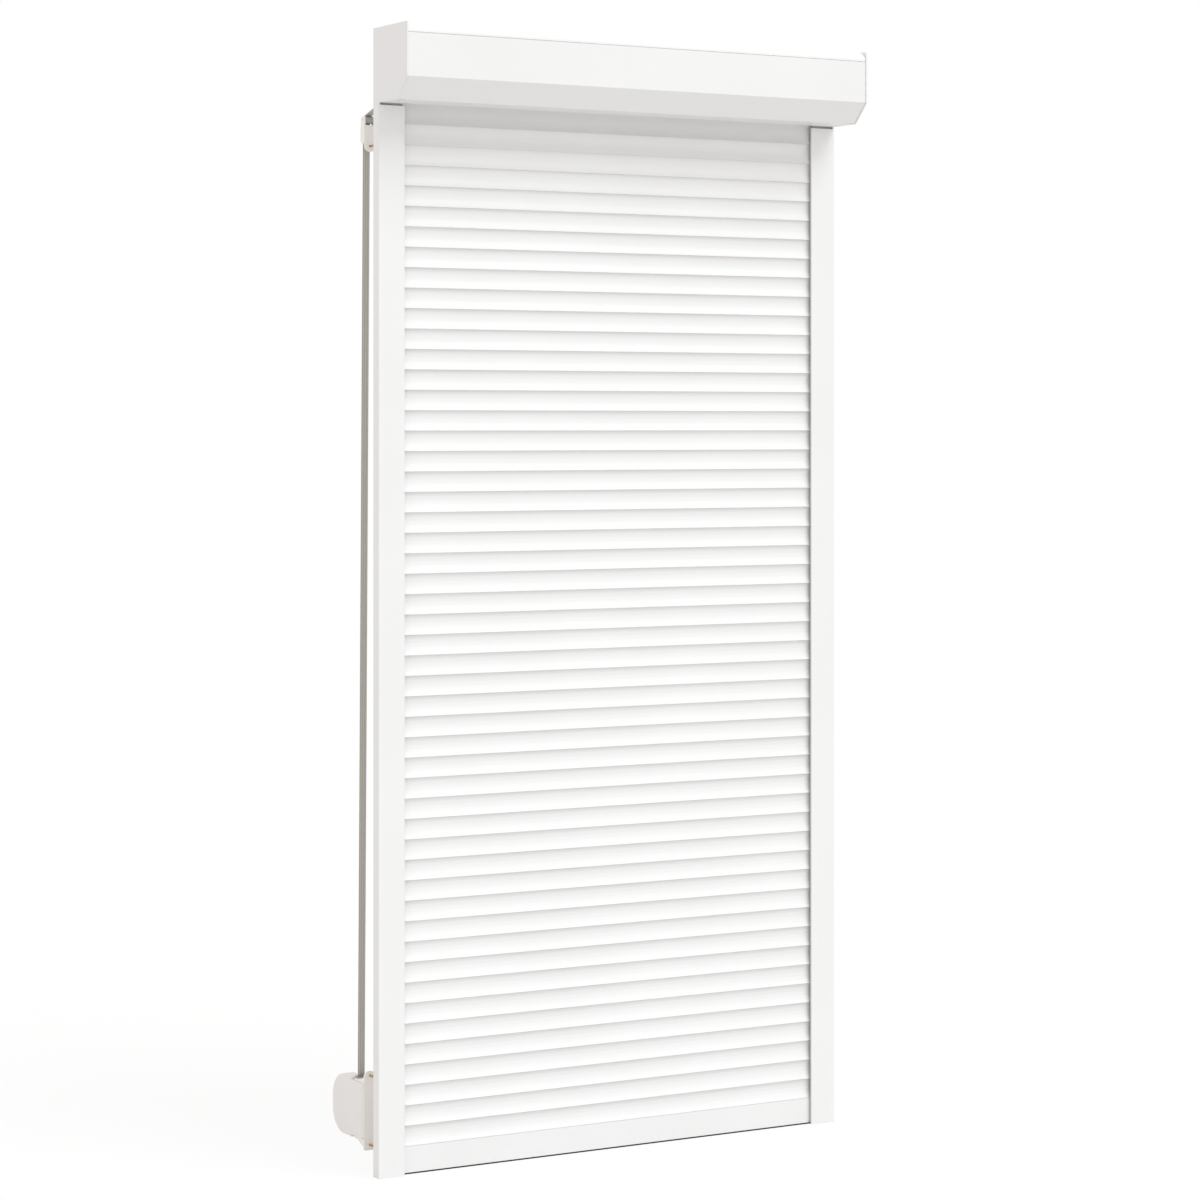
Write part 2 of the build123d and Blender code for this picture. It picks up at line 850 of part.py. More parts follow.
def strap_pulley():
    """Two flanges, a rim, a web and the plug that drives the tube."""
    left, start, finish, right = pulley_sides()
    flange = rod_x(left, start, roller_y, 0, pulley_flange_radius) + rod_x(finish, right, roller_y, 0,
                                                                           pulley_flange_radius)
    rim = rod_x(left, right, roller_y, 0, pulley_hub_radius)
    room = rod_x(left - over, right - pulley_web_wall, roller_y, 0, pulley_hub_radius - pulley_rim_wall)
    hub = rod_x(left, right, roller_y, 0, tube_flats / 2)
    body = flange + rim - room + hub + plug_blank(right, right + plug_depth)
    return body - rod_x(left - over, right + plug_depth + over, roller_y, 0, bearing_inner_radius)


def journal():
    """The steel journal pressed through the pulley into the left bearing."""
    end = -half_width + cap_plate + bearing_fit
    return rod_x(end, tube_start() + plug_depth, roller_y, 0, bearing_inner_radius)


def idler_capsule():
    """The plug in the tube's right end, with its flange."""
    finish = tube_finish()
    body = plug_blank(finish - plug_depth, finish) + rod_x(finish, finish + idler_flange, roller_y, 0,
                                                           idler_flange_radius)
    return body - rod_x(finish - idler_pin_depth, finish + idler_flange + over, roller_y, 0,
                        bearing_inner_radius)


def idler_pin():
    """The steel pin that slides out of the capsule into the right bearing."""
    return rod_x(tube_finish() - plug_depth, half_width - cap_plate - bearing_fit, roller_y, 0,
                 bearing_inner_radius)


def bearing_middles():
    """The X of the middle of each bearing."""
    x = half_width - cap_plate - bearing_fit - bearing_width / 2
    return [-x, x]


def bearing_circle():
    """The radius of the circle that the balls' centres lie on."""
    return (bearing_outer_radius + bearing_inner_radius) / 2


def ring(x, outer, inner):
    """A bearing ring with its ball groove."""
    half = bearing_width / 2
    body = rod_x(x - half, x + half, roller_y, 0, outer) - rod_x(x - half - over, x + half + over,
                                                                 roller_y, 0, inner)
    groove = Torus(bearing_circle(), bearing_ball_radius + bearing_groove_gap, rotation=(0, 90, 0))
    return body - Pos(x, roller_y, 0) * groove


def outer_rings():
    """The rings held by the end caps."""
    return [ring(x, bearing_outer_radius, bearing_outer_radius - bearing_race) for x in bearing_middles()]


def inner_rings():
    """The rings that turn with the roller."""
    return [ring(x, bearing_inner_radius + bearing_race, bearing_inner_radius) for x in bearing_middles()]


def balls():
    """The balls between the rings."""
    solids = []
    for x in bearing_middles():
        for n in range(bearing_ball_count):
            angle = math.tau * n / bearing_ball_count
            y = roller_y + bearing_circle() * math.cos(angle)
            solids.append(Pos(x, y, bearing_circle() * math.sin(angle)) * Sphere(bearing_ball_radius))
    return solids


# Strap

def sector(centre, radius, start, end):
    """A stretch of strap bent round a centre; the angles are in radians from +Y towards +Z."""
    half = strap_thickness / 2
    return bent_band(centre, radius - half, radius + half, start, end)


def bent_band(centre, low, high, start, end):
    """A flat band between two radii and two angles in the YZ plane."""
    def place(radius, angle):
        return (0, centre[0] + radius * math.cos(angle), centre[1] + radius * math.sin(angle))
    middle = (start + end) / 2
    edges = [
        ThreePointArc(place(high, start), place(high, middle), place(high, end)),
        Line(place(high, end), place(low, end)),
        ThreePointArc(place(low, end), place(low, middle), place(low, start)),
        Line(place(low, start), place(high, start)),
    ]
    return make_face(edges)


def straight(start, end):
    """A straight stretch of strap between two points of its middle line."""
    y0, z0 = start
    y1, z1 = end
    length = math.hypot(y1 - y0, z1 - z0)
    side_y = -(z1 - z0) / length * strap_thickness / 2
    side_z = (y1 - y0) / length * strap_thickness / 2
    return side_face([(y0 + side_y, z0 + side_z), (y1 + side_y, z1 + side_z), (y1 - side_y, z1 - side_z),
                      (y0 - side_y, z0 - side_z)])


def tangent_angle(first, first_radius, second, second_radius):
    """The heading of a line that leaves one circle and meets the next.

    A radius is negative where the strap turns clockwise.
    """
    gap_y = second[0] - first[0]
    gap_z = second[1] - first[1]
    return math.atan2(gap_z, gap_y) + math.asin((first_radius - second_radius) / math.hypot(gap_y, gap_z))


def touch(centre, radius, heading):
    """The point where a line of that heading touches a circle."""
    return centre[0] + radius * math.sin(heading), centre[1] - radius * math.cos(heading)


def coil_radius():
    """The outer radius of the strap wound on the pulley."""
    return pulley_hub_radius + strap_play + (pulley_turns + 1) * (strap_thickness + strap_play)


def spiral(centre, start_radius, wall, pitch, turns, phase):
    """A flat spiral of half turns whose centres alternate, so that each meets the next."""
    face = None
    shift = pitch / 4
    for n in range(turns * 2):
        sense = 1 if n % 2 == 0 else -1
        middle = (centre[0] + sense * shift * math.cos(phase), centre[1] + sense * shift * math.sin(phase))
        low = start_radius + pitch / 2 * n + shift
        half_turn = bent_band(middle, low, low + wall, phase + math.pi * n, phase + math.pi * (n + 1))
        face = half_turn if face is None else face + half_turn
    return face


def strap_on_pulley():
    """The strap wound on the pulley when the curtain is down."""
    pitch = strap_thickness + strap_play
    face = spiral((roller_y, 0), pulley_hub_radius + strap_play, strap_thickness, pitch, pulley_turns, 0)
    return along_x(face, strap_x - strap_width / 2, strap_x + strap_width / 2)


def outlet_centre():
    """The centre of the outlet bush's rounded lower lip."""
    return -outlet_lip_radius, box_bottom + outlet_rise - outlet_lip_radius + strap_thickness / 2


def guide_centre():
    """The guide roller's axis."""
    return guide_axle_y, guide_axle_z


def strap_route():
    """Centres, signed middle-line radii and headings of the strap from the pulley to the winder."""
    half = strap_thickness / 2
    pulley = ((roller_y, 0), coil_radius() + strap_clear + half)
    lip = (outlet_centre(), -(outlet_lip_radius + outlet_skin + half))
    guide = (guide_centre(), -(guide_roller_radius + outlet_skin + half))
    entry = ((winder_axis_y, sill + winder_top - winder_wall), 0)
    stops = [pulley, lip, guide, entry]
    headings = [tangent_angle(a[0], a[1], b[0], b[1]) for a, b in zip(stops, stops[1:])]
    return stops, headings


def strap():
    """The strap from the pulley, over the outlet's lip and the guide roller, down to the winder."""
    stops, headings = strap_route()
    face = None
    for n, heading in enumerate(headings):
        run = straight(touch(stops[n][0], stops[n][1], heading),
                       touch(stops[n + 1][0], stops[n + 1][1], heading))
        face = run if face is None else face + run
        if n + 1 < len(headings):
            centre, radius = stops[n + 1]
            turn = math.pi / 2
            face += sector(centre, -radius, heading + turn, headings[n + 1] + turn)
    print("strap from the pulley to the winder:", round(face.area / strap_thickness, 1))
    return along_x(face, strap_x - strap_width / 2, strap_x + strap_width / 2)


def outlet_span():
    """The lower and upper edge of the outlet's cut-out in the back of the box."""
    low = outlet_centre()[1] - outlet_lip_radius / 2
    return low, low + outlet_lip_radius + outlet_opening


def outlet_half_width():
    """Half the width of the outlet's cut-out."""
    return strap_width / 2 + strap_side_play + outlet_frame


def outlet_bush():
    """The plastic bush in the back of the box, with a rounded lip under the strap."""
    low, high = outlet_span()
    reach = outlet_half_width()
    inside = -outlet_lip_radius * 2
    centre = outlet_centre()
    lip_top = centre[1] + outlet_lip_radius
    through = brick(strap_x - reach + outlet_fit, strap_x + reach - outlet_fit, -cover_sheet - over, 0,
                    low + outlet_fit,
                    high - outlet_fit)
    flange = brick(strap_x - reach - outlet_flange, strap_x + reach + outlet_flange, inside, -cover_sheet,
                   low,
                   high + outlet_flange)
    half = strap_width / 2 + strap_side_play
    window = brick(strap_x - half, strap_x + half, inside - over, over, centre[1], high - outlet_frame)
    lip = rod_x(strap_x - half, strap_x + half, centre[0], centre[1], outlet_lip_radius)
    lip -= brick(strap_x - reach, strap_x + reach, inside - over, over, low - outlet_lip_radius,
                 low + outlet_fit)
    assert lip_top < high - outlet_frame
    return (through + flange - window) + lip


# Wall strap guide

def wood_screw(x, z, seat):
    """A countersunk wood screw with a thinner neck inside the plate whose room-side face is at seat."""
    head = Pos(x, seat - screw_head_height / 2, z) * Cone(screw_head_radius, screw_neck_radius,
                                                          screw_head_height, rotation=(90, 0, 0))
    neck = rod_y(wall_offset, seat - screw_head_height / 2, x, z, screw_neck_radius)
    return head + neck + rod_y(seat - screw_length, wall_offset, x, z, screw_radius)


def screw_hole(x, z, seat):
    """The hole and countersink for a wood screw."""
    head = screw_head_radius + screw_hole_play
    shank = screw_radius + screw_hole_play
    cone = Pos(x, seat - screw_head_height / 2, z) * Cone(head, shank, screw_head_height, rotation=(90, 0, 0))
    return cone + rod_y(wall_offset - over, seat, x, z, shank)


def guide_cheek():
    """One cheek's face: a bellied lower part and an ear round the axle."""
    belly = wall_offset + guide_cheek_reach
    y, z = guide_axle_y, guide_axle_z
    ear = y + guide_ear_reach
    outline = side_face([(wall_offset, cheek_low), (belly - guide_cheek_bevel, cheek_low),
                         (belly, cheek_low + guide_cheek_bevel), (belly, cheek_high - guide_cheek_bevel / 2),
                         (ear, cheek_high + guide_cheek_bevel / 2), (ear, z), (wall_offset, z)])
    disc = Plane((0, y, z), x_dir=(0, 1, 0), z_dir=(1, 0, 0)) * Circle(guide_ear_reach)
    corner = side_face([(wall_offset, z), (y, z), (y, z + guide_ear_reach),
                        (wall_offset, z + guide_ear_reach)])
    return outline + disc + corner


def guide_body():
    """Plate with a rounded ear, and two cheeks that carry the roller's axle."""
    half = guide_width / 2
    ear_centre = guide_low + half
    plate = brick(strap_x - half, strap_x + half, wall_offset, wall_offset + guide_plate, ear_centre,
                  notch_high)
    plate += rod_y(wall_offset, wall_offset + guide_plate, strap_x, ear_centre, half)
    body = plate
    for side in (-1, 1):
        outer = strap_x + side * half
        inner = outer - side * guide_cheek_wall
        body += along_x(guide_cheek(), min(outer, inner), max(outer, inner))
    body -= rod_x(strap_x - half - over, strap_x + half + over, guide_axle_y, guide_axle_z, guide_axle_radius)
    return body - screw_hole(strap_x, guide_screw_z, wall_offset + guide_plate)


def guide_axle():
    """The roller's steel axle."""
    half = guide_width / 2
    return rod_x(strap_x - half, strap_x + half, guide_axle_y, guide_axle_z, guide_axle_radius)


def guide_roller():
    """The plastic roller that the strap runs over."""
    half = guide_width / 2 - guide_cheek_wall - guide_side_play
    y, z = guide_centre()
    body = rod_x(strap_x - half, strap_x + half, y, z, guide_roller_radius)
    return body - rod_x(strap_x - half - over, strap_x + half + over, y, z, guide_axle_radius + guide_running)


# Winder

def winder_z(height_up):
    """Turns a height above the rails' lower ends into Z."""
    return sill + height_up


def winder_side(inset):
    """The housing's side view: flat at the arms, with two large rounded corners at the room side."""
    top = winder_z(winder_top) - inset
    low = winder_z(winder_bottom) + inset
    back = winder_back - inset
    radius = winder_corner - inset
    bend = radius * (1 - math.sqrt(0.5))
    front = winder_nose + inset
    cut_top = winder_z(winder_top) - arm_wall - arm_gap - inset
    cut_low = winder_z(winder_bottom) + arm_wall + arm_gap + inset
    cut_end = arm_cut_end + inset
    straight_edges = [(front, cut_top), (cut_end, cut_top), (cut_end, top), (back - radius, top)]
    lower_edges = [(back - radius, low), (cut_end, low), (cut_end, cut_low), (front, cut_low),
                   (front, cut_top)]
    edges = [Line((0, *a), (0, *b)) for a, b in zip(straight_edges, straight_edges[1:])]
    edges.append(ThreePointArc((0, back - radius, top), (0, back - bend, top - bend),
                               (0, back, top - radius)))
    edges.append(Line((0, back, top - radius), (0, back, low + radius)))
    edges.append(ThreePointArc((0, back, low + radius), (0, back - bend, low + bend),
                               (0, back - radius, low)))
    edges += [Line((0, *a), (0, *b)) for a, b in zip(lower_edges, lower_edges[1:])]
    return make_face(edges)


def winder_block(inset):
    """The housing as a solid, drawn in by inset, with a round nose at the wall side."""
    half = winder_width / 2 - inset
    block = along_x(winder_side(inset), strap_x - half, strap_x + half)
    nose_y = winder_nose + winder_width / 2
    outline = plan(strap_x - half, strap_x + half, nose_y, winder_back)
    outline += Pos(strap_x, nose_y, 0) * Circle(half)
    return block & upright(outline, winder_z(winder_bottom), winder_z(winder_top))


def rounded_block():
    """The housing's outer solid with its long side edges rounded."""
    block = winder_block(0)
    rounds = block.edges().filter_by(GeomType.CIRCLE)
    rounds = rounds.filter_by(lambda edge: edge.radius > winder_corner - over)
    rears = block.edges().filter_by(Axis.Z)
    rears = rears.filter_by(lambda edge: edge.center().Y > winder_back - over)
    return fillet(rounds + rears, winder_edge)


def boss_places():
    """Y and Z of the two shell screws behind the nose."""
    return [(shell_screw_y, winder_z(winder_bottom + shell_screw_inset)),
            (shell_screw_y, winder_z(winder_top - shell_screw_inset))]


def winder_shell():
    """The whole hollow housing with its bosses, before it is split."""
    shell = rounded_block() - winder_block(winder_wall)
    half = winder_width / 2
    spool_half = spool_reach() + spool_side_play
    for side in (-1, 1):
        outer = strap_x + side * (half - winder_wall / 2)
        shell += rod_x(outer, strap_x + side * spool_half, *spool_centre(), spool_axle_radius + winder_wall)
    bosses = [rod_x(strap_x - half, strap_x + half, y, z, shell_boss_radius) for y, z in boss_places()]
    for boss in bosses:
        shell += boss & rounded_block()
    shell -= spool_axle()
    shell -= Compound([solid for item in shell_screws() for solid in item.solids()])
    top = winder_z(winder_top)
    shell -= rod_z(top - winder_width, top + over, strap_x, winder_axis_y, bush_radius)
    low = winder_z(winder_bottom)
    shell -= rod_z(low - over, low + arm_wall + winder_wall + winder_width / 2, strap_x, winder_axis_y,
                   pin_radius)
    return shell


def winder_half(side):
    """One shell of the housing."""
    inner = strap_x + side * winder_split_gap / 2
    outer = strap_x + side * winder_width
    room = brick(inner, outer, 0, winder_back + over, winder_z(0), winder_z(bracket_top))
    return winder_shell() & room


def shell_screws():
    """The screws that join the shells, with heads in the right one, away from the window."""
    half = winder_width / 2
    solids = []
    for y, z in boss_places():
        right = strap_x + half
        shank = rod_x(strap_x - half + winder_wall, right, y, z, shell_screw_radius)
        solids.append(shank + rod_x(right - shell_screw_head_height, right, y, z, shell_screw_head))
    return solids


def spool_centre():
    """The spool's axis."""
    return spool_axis_y, winder_z(spool_axis_height)


def spool_reach():
    """Half the spool's width over its flanges."""
    return (strap_width + strap_side_play) / 2 + spool_flange_wall


def spool():
    """Two flanges on a drum that holds the mainspring."""
    y, z = spool_centre()
    reach = spool_reach()
    inner = reach - spool_flange_wall
    left = strap_x - reach
    right = strap_x + reach
    body = rod_x(left, right, y, z, spool_hub_radius)
    for side in (-1, 1):
        body += rod_x(strap_x + side * inner, strap_x + side * reach, y, z, spool_flange_radius)
    room = rod_x(strap_x - inner, right + over, y, z, spool_hub_radius - spool_hub_wall)
    hub = rod_x(left - over, right + over, y, z, spool_axle_radius + spool_running)
    return body - room - hub


def spool_axle():
    """The fixed steel axle that the spool turns on."""
    y, z = spool_centre()
    half = winder_width / 2 - winder_wall / 2
    return rod_x(strap_x - half, strap_x + half, y, z, spool_axle_radius)


def spool_coil_radius():
    """The outer radius of the strap left on the spool when the curtain is down."""
    return spool_hub_radius + strap_play + (spool_turns + 1) * (strap_thickness + strap_play)


def spool_strap():
    """The last turns of strap on the spool."""
    pitch = strap_thickness + strap_play
    face = spiral(spool_centre(), spool_hub_radius + strap_play, strap_thickness, pitch, spool_turns, 0)
    return along_x(face, strap_x - strap_width / 2, strap_x + strap_width / 2)


def mainspring():
    """The clock spring between the axle and the spool's drum."""
    inner = spool_reach() - spool_flange_wall - spring_end_gap
    face = spiral(spool_centre(), spool_axle_radius + spool_running, spring_wall, spring_pitch,
                  spring_turns, 0)
    return along_x(face, strap_x - inner, strap_x + inner)


def strap_tail():
    """The strap from the swivel bush down to the near side of the spool."""
    half = strap_thickness / 2
    start = (winder_axis_y, winder_z(winder_top - winder_wall) - tail_gap)
    radius = spool_coil_radius() + strap_clear + half
    heading = tangent_angle(start, 0, spool_centre(), radius)
    face = straight(start, touch(spool_centre(), radius, heading))
    return along_x(face, strap_x - strap_width / 2, strap_x + strap_width / 2)


def swivel_bush():
    """The hollow bush round the strap, held in the housing and turning in the upper arm."""
    top = winder_z(winder_top)
    low = top - arm_wall - arm_gap - bush_depth
    high = top + bush_rise + bush_collar
    body = rod_z(low, high, strap_x, winder_axis_y, bush_radius)
    body += rod_z(top + bush_rise, high, strap_x, winder_axis_y, bush_radius + bush_collar)
    return body - rod_z(low - over, high + over, strap_x, winder_axis_y, bush_bore)


def swivel_pin():
    """The steel pin under the housing, held in it and turning in the lower arm."""
    low = winder_z(winder_bottom)
    body = rod_z(low - pin_head, low + arm_wall + pin_depth, strap_x, winder_axis_y, pin_radius)
    return body + rod_z(low - pin_head, low - swivel_running, strap_x, winder_axis_y, pin_radius + pin_head)


def arm(z0, z1, bore):
    """One bracket arm, round at its free end, with the swivel's bore."""
    shape = brick(strap_x - arm_radius, strap_x + arm_radius, wall_offset, winder_axis_y, z0, z1)
    shape += rod_z(z0, z1, strap_x, winder_axis_y, arm_radius)
    return shape - rod_z(z0 - over, z1 + over, strap_x, winder_axis_y, bore + swivel_running)


def winder_bracket():
    """The wall plate with two ears, two arms and their ribs."""
    half = guide_width / 2
    top, low = winder_z(bracket_top), winder_z(bracket_bottom)
    upper = winder_z(winder_top)
    lower = winder_z(winder_bottom)
    body = brick(strap_x - half, strap_x + half, wall_offset, wall_offset + bracket_middle, low + half,
                 top - half)
    front = wall_offset + bracket_ear
    body += rod_y(wall_offset, front, strap_x, top - half, half)
    body += brick(strap_x - half, strap_x + half, wall_offset, front, top - half, upper)
    corner = half - bracket_ear_corner
    body += brick(strap_x - half, strap_x + half, wall_offset, front, low + bracket_ear_corner, lower)
    body += brick(strap_x - corner, strap_x + corner, wall_offset, front, low, lower)
    for side in (-1, 1):
        body += rod_y(wall_offset, front, strap_x + side * corner, low + bracket_ear_corner, bracket_ear_corner)
    body -= brick(strap_x - half - over, strap_x + half + over, wall_offset + bracket_middle,
                  wall_offset + bracket_ear + over, lower + arm_wall, upper - arm_wall)
    body += arm(upper - arm_wall, upper, bush_radius)
    body += arm(lower, lower + arm_wall, pin_radius)
    for side in (-1, 1):
        outer = strap_x + side * half
        inner = outer - side * bracket_rib
        high_rib = side_face([(wall_offset, upper), (bracket_rib_top_reach, upper),
                              (wall_offset + bracket_ear, top - half)])
        low_rib = side_face([(wall_offset, lower), (bracket_rib_bottom_reach, lower),
                             (wall_offset + bracket_ear, low + half / 2),
                             (wall_offset, low + half / 2)])
        body += along_x(high_rib, min(outer, inner), max(outer, inner))
        body += along_x(low_rib, min(outer, inner), max(outer, inner))
    for height_up in (bracket_screw_top, bracket_screw_bottom):
        body -= screw_hole(strap_x, winder_z(height_up), wall_offset + bracket_ear)
    return body


# All nodes

keep("box_rear_cover", rear_cover())
keep("box_front_cover", front_cover())
keep("left_end_cap", left_end_cap())
keep("right_end_cap", right_end_cap())
keep("cover_screws", *cover_screws())
keep("cover_rivets", *rivets())
keep("left_guide_rail", mirrored(right_rail()))
keep("right_guide_rail", right_rail())
keep("left_rail_seals", *[mirrored(strip) for strip in right_rail_seals()])
keep("right_rail_seals", *right_rail_seals())
keep("left_inlet_guide", mirrored(right_inlet_guide()))
keep("right_inlet_guide", right_inlet_guide())
all_slats = slats()
for group in range(slat_groups):
    first = group * slat_count // slat_groups
    last = (group + 1) * slat_count // slat_groups
    keep(f"slats_{group + 1:02d}", *all_slats[first:last])
keep("left_slat_locks", *slat_locks(-1))
keep("right_slat_locks", *slat_locks(1))
keep("bottom_bar", along_x(bar_section(), -slat_half, slat_half))
keep("bottom_bar_seal", bar_seal())
keep("bar_end_stops", *bar_stops())
keep("curtain_hangers", *hangers())
keep("roller_tube", roller_tube())
keep("strap_pulley", strap_pulley())
keep("strap_on_pulley", strap_on_pulley())
keep("pulley_journal", journal())
keep("idler_capsule", idler_capsule())
keep("idler_pin", idler_pin())
keep("tube_screws", *tube_screws(tube_screw_head))
keep("bearing_outer_rings", *outer_rings())
keep("bearing_inner_rings", *inner_rings())
keep("bearing_balls", *balls())
keep("strap", strap())
keep("strap_outlet_bush", outlet_bush())
keep("strap_guide_body", guide_body())
keep("strap_guide_axle", guide_axle())
keep("strap_guide_roller", guide_roller())
keep("strap_guide_screw", wood_screw(strap_x, guide_screw_z, wall_offset + guide_plate))
keep("winder_bracket", winder_bracket())
keep("winder_bracket_screws", *[wood_screw(strap_x, winder_z(up), wall_offset + bracket_ear)
                                for up in (bracket_screw_top, bracket_screw_bottom)])
keep("winder_left_shell", winder_half(-1))
keep("winder_right_shell", winder_half(1))
keep("winder_shell_screws", *shell_screws())
keep("winder_swivel_bush", swivel_bush())
keep("winder_swivel_pin", swivel_pin())
keep("winder_spool", spool())
keep("winder_spool_axle", spool_axle())
keep("winder_mainspring", mainspring())
keep("winder_strap_tail", strap_tail())
keep("winder_spool_strap", spool_strap())

os.makedirs("parts", exist_ok=True)
for name, shape in PARTS.items():
    export_step(shape, f"parts/{name}.step")
print("nodes:", len(PARTS), "slats:", slat_count, "curtain travel:", round(curtain_travel, 2))
print("roller turns:", pulley_turns)
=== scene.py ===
"""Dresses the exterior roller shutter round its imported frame: camera, studio, finishes and soft pieces.

Lengths are in metres and angles in radians, and a name says so where it is otherwise.
"""
import json
import logging
import math
from dataclasses import dataclass, field
from enum import Enum
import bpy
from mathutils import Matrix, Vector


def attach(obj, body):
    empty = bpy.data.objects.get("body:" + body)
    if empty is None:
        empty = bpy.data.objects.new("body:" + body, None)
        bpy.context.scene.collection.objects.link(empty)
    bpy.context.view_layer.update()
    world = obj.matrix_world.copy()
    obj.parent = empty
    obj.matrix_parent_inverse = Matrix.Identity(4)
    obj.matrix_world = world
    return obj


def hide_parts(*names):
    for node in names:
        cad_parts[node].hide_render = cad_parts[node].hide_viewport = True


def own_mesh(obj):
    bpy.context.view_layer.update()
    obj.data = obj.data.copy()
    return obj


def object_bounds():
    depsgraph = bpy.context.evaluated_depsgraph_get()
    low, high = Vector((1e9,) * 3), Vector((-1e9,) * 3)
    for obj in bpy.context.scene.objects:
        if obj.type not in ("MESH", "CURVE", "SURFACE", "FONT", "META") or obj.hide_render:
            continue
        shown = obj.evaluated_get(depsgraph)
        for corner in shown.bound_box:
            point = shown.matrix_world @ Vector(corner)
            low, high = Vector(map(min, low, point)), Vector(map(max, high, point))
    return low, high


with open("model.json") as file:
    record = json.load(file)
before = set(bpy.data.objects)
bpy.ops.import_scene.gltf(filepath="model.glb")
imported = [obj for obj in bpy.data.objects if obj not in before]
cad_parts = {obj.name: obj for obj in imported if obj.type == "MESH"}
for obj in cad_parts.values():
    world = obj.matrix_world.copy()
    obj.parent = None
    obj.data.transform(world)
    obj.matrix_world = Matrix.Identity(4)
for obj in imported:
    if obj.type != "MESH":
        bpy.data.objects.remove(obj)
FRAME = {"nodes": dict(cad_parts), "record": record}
CAD_BOUNDS = [list(corner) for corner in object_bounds()]

import bpy
from mathutils import Vector

LOG = logging.getLogger("roller_shutter")
MM = 0.001

Colour = tuple[float, float, float]
Scale = tuple[float, float, float]

WHITE = (1.0, 1.0, 1.0)
ENAMEL_WHITE = (0.86, 0.86, 0.855)

# The Mix node's sockets when it mixes colours.
MIX_FACTOR = 0
MIX_FIRST = 6
MIX_SECOND = 7
MIX_RESULT = 2

SOFT_EDGE_SAMPLES = 4
MERGE_DISTANCE = 0.001 * MM


class Body(Enum):
    """The bodies that new pieces ride on."""

    CASING = "casing"
    CURTAIN = "curtain"
    ROLLER = "roller"
    WINDER = "winder"
    SPOOL = "spool"


class Slot(Enum):
    """The record's finish slots."""

    LACQUER = "white_lacquer"
    CAP = "white_cap"
    SEAL = "dark_brush_seal"
    RUBBER = "black_rubber"
    WEBBING = "strap_webbing"
    PLASTIC = "white_plastic"
    # Ivory plastic: partly a real beige tint, partly painted light, kept brighter than the white plastic
    # to make up for the shade on the bracket.
    IVORY = "ivory_plastic"
    NYLON = "grey_nylon"
    BRASS = "brass_screw"
    ZINC = "zinc_steel"
    SPRING = "spring_steel"


class Bands(Enum):
    """Which way a pattern's bands follow each other, and the angle they turn through in a metre."""

    ALONG_X = ("X", 20.0)
    DIAGONAL = ("DIAGONAL", 10.0)


def shaded(colour: Colour, share: float) -> Colour:
    """Gives a colour that is darker or lighter by a share."""
    red, green, blue = colour
    return red * share, green * share, blue * share


def seen_directly(tree: bpy.types.NodeTree) -> bpy.types.NodeSocket:
    """Gives 1 for rays from the camera, off a gloss or through glass, and 0 for the rest.

    Args:
        tree: The node tree of a material or of the world.

    Returns:
        The factor output.
    """
    paths = tree.nodes.new("ShaderNodeLightPath")
    seen = paths.outputs["Is Camera Ray"]
    for kind in ("Is Glossy Ray", "Is Transmission Ray"):
        either = tree.nodes.new("ShaderNodeMath")
        either.operation = "MAXIMUM"
        tree.links.new(seen, either.inputs[0])
        tree.links.new(paths.outputs[kind], either.inputs[1])
        seen = either.outputs[0]
    return seen


